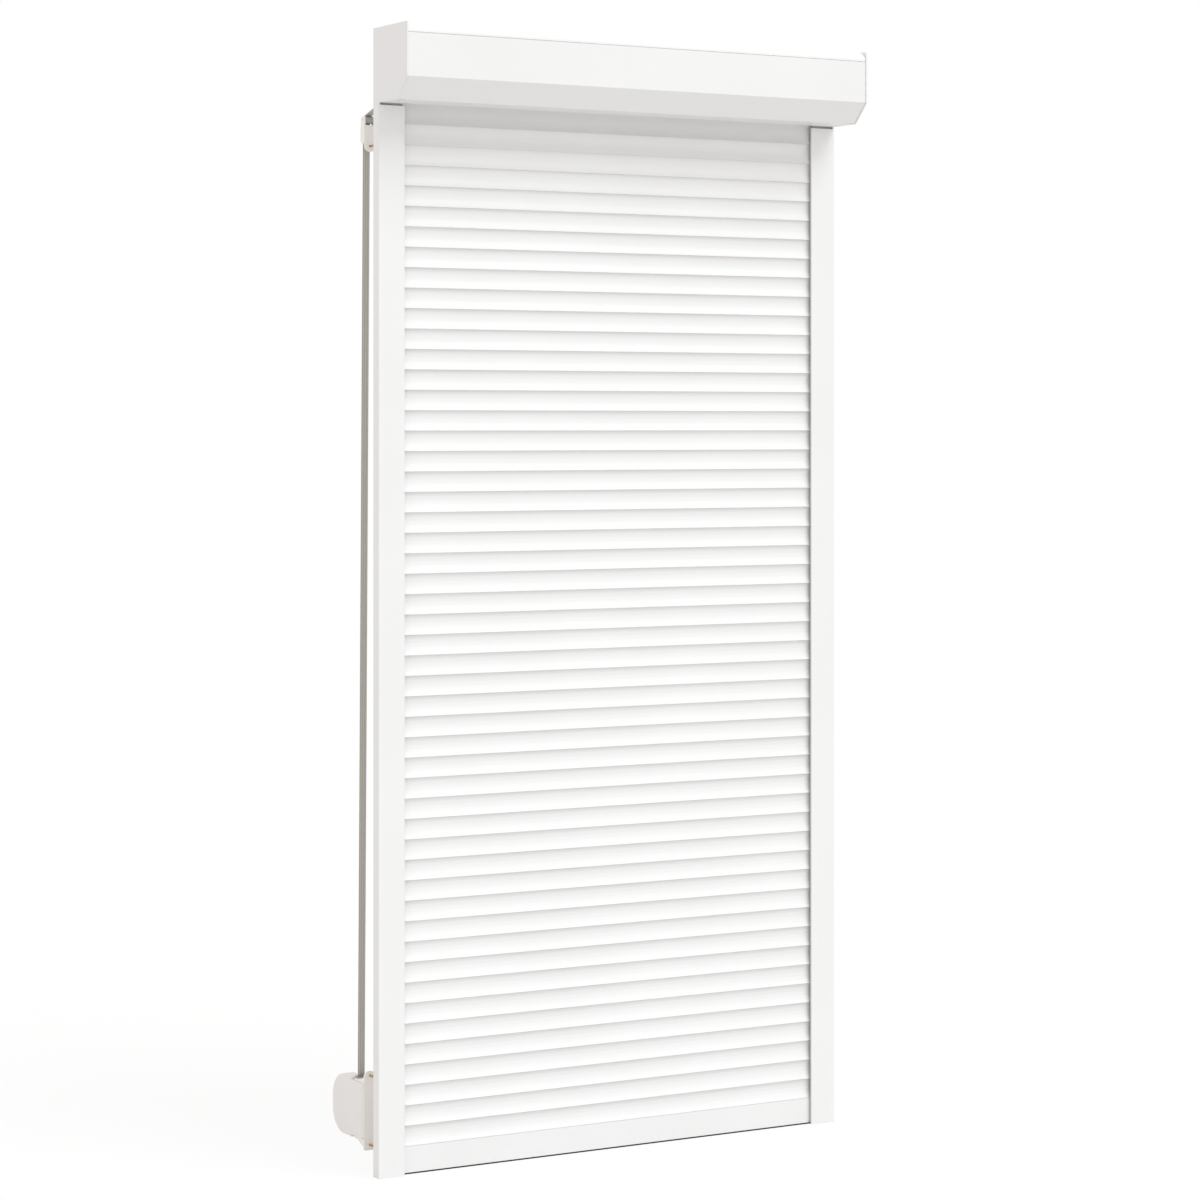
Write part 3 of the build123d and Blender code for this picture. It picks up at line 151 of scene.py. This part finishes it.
@dataclass
class ShaderGraph:
    """A material's node tree, with short ways to add and join nodes.

    Args:
        name: The material's name.
    """

    name: str
    material: bpy.types.Material = field(init=False)

    def __post_init__(self) -> None:
        """Makes the material and clears its nodes."""
        self.material = bpy.data.materials.new(self.name)
        self.material.use_nodes = True
        self.material.node_tree.nodes.clear()

    def add(self, kind: str, **settings: object) -> bpy.types.Node:
        """Adds a node and sets its properties.

        Args:
            kind: The node's type name.
            settings: Properties of the node by name.

        Returns:
            The new node.
        """
        node = self.material.node_tree.nodes.new(kind)
        for key, value in settings.items():
            setattr(node, key, value)
        return node

    def put(self, node: bpy.types.Node, values: dict[str | int, object]) -> None:
        """Sets unlinked inputs.

        Args:
            node: The node whose inputs are set.
            values: Input name or number to value.
        """
        for key, value in values.items():
            node.inputs[key].default_value = value

    def join(self, source: bpy.types.NodeSocket, target: bpy.types.NodeSocket) -> None:
        """Links an output to an input."""
        self.material.node_tree.links.new(source, target)

    def place(self, scale: Scale = (1.0, 1.0, 1.0)) -> bpy.types.NodeSocket:
        """Gives object coordinates, stretched by a scale.

        Args:
            scale: How many pattern units go in a metre along each axis.

        Returns:
            The vector output.
        """
        where = self.add("ShaderNodeTexCoord")
        mapping = self.add("ShaderNodeMapping")
        self.put(mapping, {"Scale": scale})
        self.join(where.outputs["Object"], mapping.inputs["Vector"])
        return mapping.outputs["Vector"]

    def noise(self, scale: Scale, detail: float) -> bpy.types.NodeSocket:
        """Gives a grey noise in object space.

        Args:
            scale: Pattern units in a metre along each axis.
            detail: Octaves of finer noise.

        Returns:
            The factor output.
        """
        texture = self.add("ShaderNodeTexNoise")
        self.put(texture, {"Scale": 1.0, "Detail": detail})
        self.join(self.place(scale), texture.inputs["Vector"])
        return texture.outputs["Fac"]

    def bands(self, way: Bands, per_metre: float, waver: float) -> bpy.types.NodeSocket:
        """Gives soft parallel bands in object space.

        Args:
            way: Which way they follow each other.
            per_metre: How many of them there are in a metre.
            waver: How far they stray from a straight line.

        Returns:
            The factor output.
        """
        direction, angle_per_metre = way.value
        texture = self.add("ShaderNodeTexWave", wave_type="BANDS", bands_direction=direction,
                           wave_profile="SIN")
        self.put(texture, {"Scale": per_metre * math.tau / angle_per_metre, "Distortion": waver})
        self.join(self.place(), texture.inputs["Vector"])
        return texture.outputs["Fac"]

    def spread(self, source: bpy.types.NodeSocket, low: float = 0.0, high: float = 1.0,
               start: float = 0.3, end: float = 0.7) -> bpy.types.NodeSocket:
        """Maps the middle of a factor's range onto another range.

        Args:
            source: The factor.
            low: The result at start.
            high: The result at end.
            start: The factor that gives low.
            end: The factor that gives high.

        Returns:
            The mapped value.
        """
        ramp = self.add("ShaderNodeMapRange")
        self.put(ramp, {"From Min": start, "From Max": end, "To Min": low, "To Max": high})
        self.join(source, ramp.inputs["Value"])
        return ramp.outputs["Result"]

    def blend(self, factor: bpy.types.NodeSocket, first: Colour, second: Colour) -> bpy.types.NodeSocket:
        """Mixes two colours by a factor.

        Args:
            factor: The share of the second colour.
            first: The colour at 0.
            second: The colour at 1.

        Returns:
            The mixed colour.
        """
        mix = self.add("ShaderNodeMix", data_type="RGBA")
        self.put(mix, {MIX_FIRST: (*first, 1.0), MIX_SECOND: (*second, 1.0)})
        self.join(factor, mix.inputs[MIX_FACTOR])
        return mix.outputs[MIX_RESULT]

    def veil(self, colour: bpy.types.NodeSocket, shadow: bpy.types.NodeSocket,
             share: float) -> bpy.types.NodeSocket:
        """Multiplies a colour by another one, in part.

        Args:
            colour: The colour.
            shadow: The colour that it is multiplied by.
            share: How much of the result is the product.

        Returns:
            The darkened colour.
        """
        mix = self.add("ShaderNodeMix", data_type="RGBA", blend_type="MULTIPLY")
        self.put(mix, {MIX_FACTOR: share})
        self.join(colour, mix.inputs[MIX_FIRST])
        self.join(shadow, mix.inputs[MIX_SECOND])
        return mix.outputs[MIX_RESULT]

    def reckon(self, operation: str, first: bpy.types.NodeSocket,
               second: bpy.types.NodeSocket | float = 0.0) -> bpy.types.NodeSocket:
        """Works out one sum with a Math node.

        Args:
            operation: The node's operation.
            first: Its first socket.
            second: Its second socket, or a number.

        Returns:
            The result.
        """
        node = self.add("ShaderNodeMath", operation=operation)
        self.join(first, node.inputs[0])
        if isinstance(second, float):
            self.put(node, {1: second})
        else:
            self.join(second, node.inputs[1])
        return node.outputs[0]

    def soft_edge(self, radius: float) -> bpy.types.NodeSocket:
        """Gives the normal of a surface whose sharp edges look rounded.

        Args:
            radius: The edges' radius.

        Returns:
            The normal.
        """
        bevel = self.add("ShaderNodeBevel", samples=SOFT_EDGE_SAMPLES)
        self.put(bevel, {"Radius": radius})
        return bevel.outputs["Normal"]

    def relief(self, height: bpy.types.NodeSocket, strength: float, distance: float,
               ground: bpy.types.NodeSocket | None = None) -> bpy.types.NodeSocket:
        """Turns a height into a normal.

        Args:
            height: The height factor.
            strength: How strongly the relief shows.
            distance: The height that factor 1 stands for.
            ground: The normal that the relief lies on, or None for the mesh's own.

        Returns:
            The normal.
        """
        bump = self.add("ShaderNodeBump")
        self.put(bump, {"Strength": strength, "Distance": distance})
        self.join(height, bump.inputs["Height"])
        if ground is not None:
            self.join(ground, bump.inputs["Normal"])
        return bump.outputs["Normal"]

    def close(self, shader: bpy.types.Node) -> bpy.types.Material:
        """Joins the shader to the output and gives the material."""
        output = self.add("ShaderNodeOutputMaterial")
        self.join(shader.outputs[0], output.inputs["Surface"])
        return self.material


@dataclass(frozen=True)
class Lacquer:
    """Stove-enamelled aluminium: even colour with faint clouds, orange peel and softened edges."""

    name: str
    colour: Colour
    shade: float = 0.975
    roughness: float = 0.38
    smoother: float = 0.03
    rougher: float = 0.05
    refraction: float = 1.46
    gloss: float = 0.42
    clouds_per_metre: float = 4.0
    cloud_detail: float = 5.0
    peel_per_metre: float = 700.0
    peel_detail: float = 2.0
    peel_strength: float = 0.06
    peel_height: float = 0.2 * MM
    edge: float = 0.6 * MM

    def material(self) -> bpy.types.Material:
        """Builds the material.

        Returns:
            The finished material.
        """
        graph = ShaderGraph(self.name)
        shader = graph.add("ShaderNodeBsdfPrincipled")
        graph.put(shader, {"IOR": self.refraction, "Specular IOR Level": self.gloss})
        cloud = graph.noise((self.clouds_per_metre,) * 3, self.cloud_detail)
        tone = graph.blend(graph.spread(cloud), shaded(self.colour, self.shade), self.colour)
        graph.join(tone, shader.inputs["Base Color"])
        dullness = graph.spread(cloud, self.roughness - self.smoother, self.roughness + self.rougher)
        graph.join(dullness, shader.inputs["Roughness"])
        peel = graph.noise((self.peel_per_metre,) * 3, self.peel_detail)
        surface = graph.relief(peel, self.peel_strength, self.peel_height, self.sheet_normal(graph))
        graph.join(surface, shader.inputs["Normal"])
        return graph.close(shader)

    def sheet_normal(self, graph: ShaderGraph) -> bpy.types.NodeSocket:
        """Gives the normal of the sheet under the lacquer, with its edges softened."""
        return graph.soft_edge(self.edge)


@dataclass(frozen=True)
class SlatEnamel(Lacquer):
    """Lacquer on roll-formed slats, which makes their hollow faces look a little deeper."""

    lowest_foot: float = 0.0
    pitch: float = 37.5 * MM
    middle: float = 0.5
    curve: float = 2.0
    hollow_strength: float = 1.0
    hollow: float = 3.0 * MM

    def sheet_normal(self, graph: ShaderGraph) -> bpy.types.NodeSocket:
        """Bends the sheet's normal as a hollow would, deepest in the middle of each slat.

        Args:
            graph: The material's graph.

        Returns:
            The bent normal.
        """
        split = graph.add("ShaderNodeSeparateXYZ")
        graph.join(graph.place(), split.inputs[0])
        above_foot = graph.reckon("SUBTRACT", split.outputs["Z"], self.lowest_foot)
        place_on_slat = graph.reckon("FRACT", graph.reckon("DIVIDE", above_foot, self.pitch))
        from_middle = graph.reckon("SUBTRACT", place_on_slat, self.middle)
        share_to_edge = graph.reckon("ABSOLUTE", graph.reckon("DIVIDE", from_middle, self.middle))
        rise = graph.reckon("POWER", share_to_edge, self.curve)
        return graph.relief(rise, self.hollow_strength, self.hollow, super().sheet_normal(graph))


@dataclass(frozen=True)
class Moulded:
    """Injection-moulded plastic with a fine eroded grain."""

    name: str
    colour: Colour
    shade: float = 0.97
    roughness: float = 0.44
    smoother: float = 0.05
    rougher: float = 0.08
    refraction: float = 1.5
    clouds_per_metre: float = 14.0
    cloud_detail: float = 4.0
    grains_per_metre: float = 2600.0
    grain_detail: float = 2.0
    grain_strength: float = 0.16
    grain_height: float = 0.1 * MM
    edge: float = 0.5 * MM

    def material(self) -> bpy.types.Material:
        """Builds the material.

        Returns:
            The finished material.
        """
        graph = ShaderGraph(self.name)
        shader = graph.add("ShaderNodeBsdfPrincipled")
        graph.put(shader, {"IOR": self.refraction})
        cloud = graph.noise((self.clouds_per_metre,) * 3, self.cloud_detail)
        tone = graph.blend(graph.spread(cloud), shaded(self.colour, self.shade), self.colour)
        graph.join(tone, shader.inputs["Base Color"])
        grain = graph.noise((self.grains_per_metre,) * 3, self.grain_detail)
        dullness = graph.spread(grain, self.roughness - self.smoother, self.roughness + self.rougher)
        graph.join(dullness, shader.inputs["Roughness"])
        surface = graph.relief(grain, self.grain_strength, self.grain_height, graph.soft_edge(self.edge))
        graph.join(surface, shader.inputs["Normal"])
        return graph.close(shader)


@dataclass(frozen=True)
class Rubber:
    """Black rubber or brush pile, with fine lines in it."""

    name: str
    colour: Colour
    lines_per_metre: Scale
    light: float = 1.5
    roughness: float = 0.62
    smoother: float = 0.08
    rougher: float = 0.1
    line_detail: float = 3.0
    line_strength: float = 0.35
    line_height: float = 0.2 * MM

    def material(self) -> bpy.types.Material:
        """Builds the material.

        Returns:
            The finished material.
        """
        graph = ShaderGraph(self.name)
        shader = graph.add("ShaderNodeBsdfPrincipled")
        lines = graph.noise(self.lines_per_metre, self.line_detail)
        tone = graph.blend(graph.spread(lines), self.colour, shaded(self.colour, self.light))
        graph.join(tone, shader.inputs["Base Color"])
        dullness = graph.spread(lines, self.roughness - self.smoother, self.roughness + self.rougher)
        graph.join(dullness, shader.inputs["Roughness"])
        surface = graph.relief(lines, self.line_strength, self.line_height)
        graph.join(surface, shader.inputs["Normal"])
        return graph.close(shader)


@dataclass(frozen=True)
class Webbing:
    """Woven strap: darker warp stripes along it, a fine weft across them and stray fibres."""

    name: str
    colour: Colour
    stripe: Colour
    stripes_per_metre: float = 215.0
    stripe_start: float = 0.2
    stripe_end: float = 0.8
    wefts_per_metre: float = 225.0
    weft_waver: float = 0.4
    fibres_per_metre: Scale = (2500.0, 1200.0, 600.0)
    fibre_detail: float = 3.0
    fibre_shade: float = 0.75
    fibre_share: float = 0.35
    weave_strength: float = 0.5
    weave_height: float = 0.15 * MM
    roughness: float = 0.85
    fuzz: float = 0.25
    fuzz_roughness: float = 0.5

    def material(self) -> bpy.types.Material:
        """Builds the material.

        Returns:
            The finished material.
        """
        graph = ShaderGraph(self.name)
        shader = graph.add("ShaderNodeBsdfPrincipled")
        graph.put(shader, {"Roughness": self.roughness, "Sheen Weight": self.fuzz,
                           "Sheen Roughness": self.fuzz_roughness})
        warp = graph.bands(Bands.ALONG_X, self.stripes_per_metre, 0.0)
        weft = graph.bands(Bands.DIAGONAL, self.wefts_per_metre, self.weft_waver)
        stripes = graph.spread(warp, start=self.stripe_start, end=self.stripe_end)
        yarn = graph.blend(stripes, self.colour, self.stripe)
        fibres = graph.spread(graph.noise(self.fibres_per_metre, self.fibre_detail))
        between_fibres = graph.blend(fibres, shaded(WHITE, self.fibre_shade), WHITE)
        tone = graph.veil(yarn, between_fibres, self.fibre_share)
        graph.join(tone, shader.inputs["Base Color"])
        surface = graph.relief(graph.reckon("ADD", weft, warp), self.weave_strength, self.weave_height)
        graph.join(surface, shader.inputs["Normal"])
        return graph.close(shader)


@dataclass(frozen=True)
class Metal:
    """Bare or plated metal, drawn or turned, with fine lines along one axis."""

    name: str
    colour: Colour
    lines_per_metre: Scale
    shade: float = 0.82
    roughness: float = 0.32
    smoother: float = 0.06
    rougher: float = 0.12
    line_detail: float = 4.0
    line_strength: float = 0.15
    line_height: float = 0.1 * MM
    edge: float = 0.3 * MM

    def material(self) -> bpy.types.Material:
        """Builds the material.

        Returns:
            The finished material.
        """
        graph = ShaderGraph(self.name)
        shader = graph.add("ShaderNodeBsdfPrincipled")
        graph.put(shader, {"Metallic": 1.0})
        lines = graph.noise(self.lines_per_metre, self.line_detail)
        tone = graph.blend(graph.spread(lines), shaded(self.colour, self.shade), self.colour)
        graph.join(tone, shader.inputs["Base Color"])
        dullness = graph.spread(lines, self.roughness - self.smoother, self.roughness + self.rougher)
        graph.join(dullness, shader.inputs["Roughness"])
        surface = graph.relief(lines, self.line_strength, self.line_height, graph.soft_edge(self.edge))
        graph.join(surface, shader.inputs["Normal"])
        return graph.close(shader)


FINISHES = {
    Slot.LACQUER: Lacquer("stove_enamel", ENAMEL_WHITE),
    Slot.CAP: Lacquer("cap_enamel", (0.85, 0.85, 0.845), roughness=0.42, peel_per_metre=1100.0),
    Slot.SEAL: Rubber("brush_pile", (0.022, 0.022, 0.023), (900.0, 900.0, 40.0), roughness=0.85),
    Slot.RUBBER: Rubber("sill_rubber", (0.008, 0.008, 0.009), (6.0, 900.0, 900.0)),
    Slot.WEBBING: Webbing("strap_webbing", (0.55, 0.53, 0.485), (0.445, 0.425, 0.385)),
    Slot.PLASTIC: Moulded("white_plastic", (0.88, 0.865, 0.85)),
    # Painted light: this beige plastic is brighter than the white plastic to make up for the shade that
    # falls on the bracket.
    Slot.IVORY: Moulded("ivory_plastic", (0.93, 0.915, 0.865)),
    Slot.NYLON: Moulded("grey_nylon", (0.42, 0.42, 0.41), roughness=0.5),
    Slot.BRASS: Metal("brass_plate", (0.60, 0.43, 0.23), (800.0, 60.0, 800.0), roughness=0.34),
    Slot.ZINC: Metal("zinc_plate", (0.60, 0.61, 0.62), (60.0, 900.0, 900.0)),
    Slot.SPRING: Metal("blued_spring", (0.20, 0.21, 0.23), (500.0, 500.0, 60.0), roughness=0.4),
}


def clear_selection() -> None:
    """Deselects everything and leaves edit mode."""
    if bpy.context.object and bpy.context.object.mode != "OBJECT":
        bpy.ops.object.mode_set(mode="OBJECT")
    bpy.ops.object.select_all(action="DESELECT")


def pick(piece: bpy.types.Object) -> None:
    """Makes a piece the only selected and active one."""
    clear_selection()
    piece.select_set(True)
    bpy.context.view_layer.objects.active = piece


def copy_of_node(node: str, name: str) -> bpy.types.Object:
    """Makes a merged copy of a CAD node's mesh, to shape further.

    Args:
        node: The CAD node.
        name: The new piece's name.

    Returns:
        The new piece, at the origin, selected.
    """
    mesh = FRAME["nodes"][node].data.copy()
    mesh.name = name
    piece = bpy.data.objects.new(name, mesh)
    bpy.context.scene.collection.objects.link(piece)
    pick(piece)
    bpy.ops.object.mode_set(mode="EDIT")
    bpy.ops.mesh.select_all(action="SELECT")
    bpy.ops.mesh.remove_doubles(threshold=MERGE_DISTANCE)
    bpy.ops.object.mode_set(mode="OBJECT")
    return piece


def paint(piece: bpy.types.Object, material: bpy.types.Material) -> None:
    """Gives a piece one material.

    Args:
        piece: The piece.
        material: Its finish.
    """
    if not piece.material_slots:
        piece.data.materials.append(material)
    for slot in piece.material_slots:
        slot.material = material


@dataclass
class Workshop:
    """Holds one material for each finish slot, and dresses pieces with them."""

    materials: dict[Slot, bpy.types.Material] = field(default_factory=dict)

    def prepare(self) -> None:
        """Builds every slot's finish once."""
        self.materials = {slot: finish.material() for slot, finish in FINISHES.items()}

    def dress_nodes(self) -> None:
        """Gives every CAD node the finish of its slot in the record."""
        for part in FRAME["record"]["subparts"]:
            slot = Slot(part["material_slot"])
            paint(FRAME["nodes"][part["node"]], self.materials[slot])

    def finish(self, piece: bpy.types.Object, slot: Slot, body: Body, *nodes: str) -> None:
        """Dresses a new piece, and sets what it rides on and replaces.

        Args:
            piece: The new piece.
            slot: Its finish slot.
            body: The body that it rides on.
            nodes: The CAD nodes that it stands for.
        """
        paint(piece, self.materials[slot])
        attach(piece, body.value)
        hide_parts(*nodes)


@dataclass
class Curtain:
    """The hanging slats, their locks and hangers, copied from their CAD nodes to ride on the curtain."""

    groups: int = 13
    bar_top: float = -1979.5 * MM
    flattened: float = 0.0237
    crease: float = math.radians(30.0)

    def build(self, shop: Workshop) -> list[bpy.types.Object]:
        """Copies the slats, the locks and the hangers.

        Args:
            shop: The finishes.

        Returns:
            The new pieces.
        """
        enamel = SlatEnamel("slat_enamel", ENAMEL_WHITE, lowest_foot=self.bar_top).material()
        pieces = []
        for number in range(1, self.groups + 1):
            slats = self.fold(f"slats_{number:02d}", f"slat_skins_{number:02d}", shop, Slot.LACQUER)
            paint(slats, enamel)
            pieces.append(slats)
        for side in ("left", "right"):
            pieces.append(self.fold(f"{side}_slat_locks", f"{side}_end_locks", shop, Slot.NYLON))
        pieces.append(self.fold("curtain_hangers", "hanger_springs", shop, Slot.SPRING))
        return pieces

    def fold(self, node: str, name: str, shop: Workshop, slot: Slot) -> bpy.types.Object:
        """Copies a node, smooths it and sets it on the curtain.

        Args:
            node: The CAD node that is copied.
            name: The new piece's name.
            shop: The finishes.
            slot: Its finish slot.

        Returns:
            The new piece.
        """
        piece = copy_of_node(node, name)
        bpy.ops.object.shade_smooth_by_angle(angle=self.crease)
        shop.finish(piece, slot, Body.CURTAIN, node)
        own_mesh(piece)
        return piece


@dataclass
class Strap:
    """The woven strap, from the pulley over the guide into the winder."""

    selvedge: float = 0.35 * MM
    selvedge_faces: int = 2
    selvedge_angle: float = math.radians(60.0)

    def build(self, shop: Workshop) -> list[bpy.types.Object]:
        """Gives each stretch of strap rounded selvedges and its weave.

        Args:
            shop: The finishes.

        Returns:
            The new pieces.
        """
        stretches = (
            ("strap", "strap_run", Body.CASING),
            ("strap_on_pulley", "strap_coil", Body.ROLLER),
            ("winder_strap_tail", "strap_tail", Body.WINDER),
            ("winder_spool_strap", "spool_coil", Body.SPOOL),
        )
        pieces = []
        for node, name, body in stretches:
            piece = copy_of_node(node, name)
            self.round_selvedges(piece)
            shop.finish(piece, Slot.WEBBING, body, node)
            pieces.append(piece)
        return pieces

    def round_selvedges(self, piece: bpy.types.Object) -> None:
        """Bevels the strap's sharp edges and smooths the rest.

        Args:
            piece: The stretch of strap, selected.
        """
        bevel = piece.modifiers.new("selvedges", "BEVEL")
        bevel.width = self.selvedge
        bevel.segments = self.selvedge_faces
        bevel.limit_method = "ANGLE"
        bevel.angle_limit = self.selvedge_angle
        bpy.ops.object.modifier_apply(modifier=bevel.name)
        bpy.ops.object.shade_smooth_by_angle(angle=self.selvedge_angle)


@dataclass
class Studio:
    """Camera, floor, surrounding light and one soft lamp."""

    eye: tuple[float, float, float] = (-3.1834, -5.4598, -0.66)
    heading: float = -0.525
    level: float = math.radians(90.0)
    sensor_mm: float = 36.0
    lens_mm: float = 99.56
    rise_share: float = -0.1443
    sight: float = 200.0
    floor_size: float = 60.0
    floor_colour: Colour = (0.75, 0.742, 0.735)
    floor_glow: float = 1.03
    floor_glow_share: float = 0.85
    backdrop: float = 1.0
    ambient: float = 0.90
    ambient_tint: Colour = (1.0, 0.958, 0.944)
    key_strength: float = 1.18
    key_tint: Colour = (0.88, 1.0, 1.02)
    key_spread: float = math.radians(34.0)
    key_from: tuple[float, float, float] = (0.45, -0.9, 1.15)

    def build_camera(self) -> None:
        """Places the camera where the photograph was taken from."""
        data = bpy.data.cameras.new("camera")
        data.sensor_width = self.sensor_mm
        data.lens = self.lens_mm
        data.shift_y = self.rise_share
        data.clip_end = self.sight
        camera = bpy.data.objects.new("camera", data)
        camera.location = self.eye
        camera.rotation_euler = (self.level, 0.0, self.heading)
        bpy.context.scene.collection.objects.link(camera)
        bpy.context.scene.camera = camera

    def build_floor(self) -> None:
        """Lays a pale floor under the shutter's lowest point."""
        lowest = CAD_BOUNDS[0][2]
        clear_selection()
        bpy.ops.mesh.primitive_plane_add(size=self.floor_size, location=(0.0, 0.0, lowest))
        floor = bpy.context.object
        floor.name = "studio_floor"
        paint(floor, self.floor_material())

    def floor_material(self) -> bpy.types.Material:
        """Builds a pale floor that the camera sees almost white, with the shutter's shadow on it.

        Returns:
            The floor's material.
        """
        graph = ShaderGraph("pale_floor")
        matt = graph.add("ShaderNodeBsdfDiffuse")
        graph.put(matt, {"Color": (*self.floor_colour, 1.0)})
        glow = graph.add("ShaderNodeEmission")
        graph.put(glow, {"Color": (*WHITE, 1.0), "Strength": self.floor_glow})
        mix = graph.add("ShaderNodeMixShader")
        direct = seen_directly(graph.material.node_tree)
        graph.join(graph.reckon("MULTIPLY", direct, self.floor_glow_share), mix.inputs[0])
        graph.join(matt.outputs[0], mix.inputs[1])
        graph.join(glow.outputs[0], mix.inputs[2])
        return graph.close(mix)

    def build_world(self) -> None:
        """Surrounds the shutter with even light, which the camera sees as white."""
        world = bpy.data.worlds.new("studio")
        bpy.context.scene.world = world
        world.use_nodes = True
        tree = world.node_tree
        tree.nodes.clear()
        mix = tree.nodes.new("ShaderNodeMixShader")
        tree.links.new(seen_directly(tree), mix.inputs[0])
        lights = ((self.ambient_tint, self.ambient), (WHITE, self.backdrop))
        for (tint, strength), socket in zip(lights, mix.inputs[1:]):
            light = tree.nodes.new("ShaderNodeBackground")
            light.inputs["Color"].default_value = (*tint, 1.0)
            light.inputs["Strength"].default_value = strength
            tree.links.new(light.outputs[0], socket)
        output = tree.nodes.new("ShaderNodeOutputWorld")
        tree.links.new(mix.outputs[0], output.inputs["Surface"])

    def build_key(self) -> None:
        """Hangs a wide soft lamp above the front, a little to the right."""
        data = bpy.data.lights.new("key", "SUN")
        data.energy = self.key_strength
        data.color = self.key_tint
        data.angle = self.key_spread
        lamp = bpy.data.objects.new("key", data)
        lamp.rotation_euler = (-Vector(self.key_from)).to_track_quat("-Z", "Y").to_euler()
        bpy.context.scene.collection.objects.link(lamp)


def main() -> None:
    """Builds the camera, the finishes, the soft pieces and the studio in order, and reports each piece."""
    logging.basicConfig(level=logging.INFO, format="%(name)s: %(message)s")
    bpy.context.scene.view_settings.view_transform = "Standard"
    studio = Studio()
    studio.build_camera()
    shop = Workshop()
    shop.prepare()
    shop.dress_nodes()
    for assembly in (Curtain(), Strap()):
        for piece in assembly.build(shop):
            LOG.info("%s, %d vertices", piece.name, len(piece.data.vertices))
    studio.build_floor()
    studio.build_world()
    studio.build_key()


if __name__ == "__main__":
    main()
